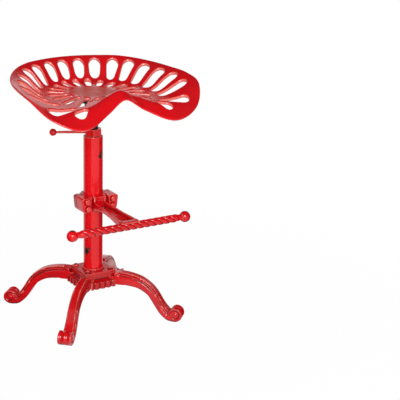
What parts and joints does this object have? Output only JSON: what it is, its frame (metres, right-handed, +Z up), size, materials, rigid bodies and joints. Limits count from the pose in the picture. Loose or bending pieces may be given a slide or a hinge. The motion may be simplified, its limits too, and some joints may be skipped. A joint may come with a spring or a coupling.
{
  "type": "tractor seat stool",
  "caption": "Height adjustable stool with a slotted cast tractor seat on a screw, a tube column with a clamped footrest bar, and scroll footed cast legs.",
  "frame": {"origin": "at floor level under the middle of the stool's outline in plan; the column's axis stands 14 mm behind it, at Y = +0.014", "axes": "+Z up along the column; -Y is the front, where the footrest bar is; +X is along the footrest bar towards the sitter's left"},
  "size_m": [0.4577, 0.3864, 0.6347],
  "materials": {
    "red_enamel": "glossy bright red enamel, chipped to dark metal",
    "black_paint": "satin black paint",
    "plain_steel": "dull plain steel"
  },
  "bodies": {
    "base": {"column_tube": "red_enamel", "flange_plate": "red_enamel", "column_weld": "red_enamel", "column_bush": "plain_steel", "leg_front_left": "red_enamel", "leg_front_right": "red_enamel", "leg_back_right": "red_enamel", "leg_back_left": "red_enamel", "base_hub": "red_enamel", "flange_bolt_1": "red_enamel", "flange_bolt_2": "red_enamel", "flange_bolt_3": "red_enamel", "flange_bolt_4": "red_enamel"},
    "spindle": {"spindle": "black_paint", "spindle_stop": "plain_steel"},
    "seat": {"seat_pan": "red_enamel", "seat_flange": "black_paint", "seat_bolt_1": "plain_steel", "seat_bolt_2": "plain_steel", "seat_bolt_3": "plain_steel", "seat_bolt_4": "plain_steel"},
    "lock": {"lock_nut": "red_enamel", "lock_lever": "red_enamel", "lever_ball": "red_enamel"},
    "footrest": {"footrest_bracket": "red_enamel", "clamp_back": "red_enamel", "clamp_bolt_1": "red_enamel", "clamp_bolt_2": "red_enamel", "clamp_bolt_3": "red_enamel", "clamp_bolt_4": "red_enamel", "clamp_nut_1": "red_enamel", "clamp_nut_2": "red_enamel", "clamp_nut_3": "red_enamel", "clamp_nut_4": "red_enamel", "footrest_bar": "red_enamel", "bar_ball_right": "red_enamel", "bar_ball_left": "red_enamel"}
  },
  "joints": [
    {"name": "spindle_lift", "type": "slide", "parent": "base", "child": "spindle", "axis": [0, 0, 1], "range_m": [-0.05, 0.11]},
    {"name": "seat_turn", "type": "hinge", "parent": "spindle", "child": "seat", "pos_m": [0, 0.014, 0.5755], "axis": [0, 0, 1], "range_deg": [-2240, 4940]},
    {"name": "lock_lever_turn", "type": "hinge", "parent": "base", "child": "lock", "pos_m": [0, 0.014, 0.4751], "axis": [0, 0, 1], "range_deg": [0, 120]},
    {"name": "footrest_slide", "type": "slide", "parent": "base", "child": "footrest", "axis": [0, 0, 1], "range_m": [-0.145, 0.135]}
  ],
  "couplings": [
    {"joint": "spindle_lift", "follows": "seat_turn", "m_per_rad": 0.0012732}
  ]
}
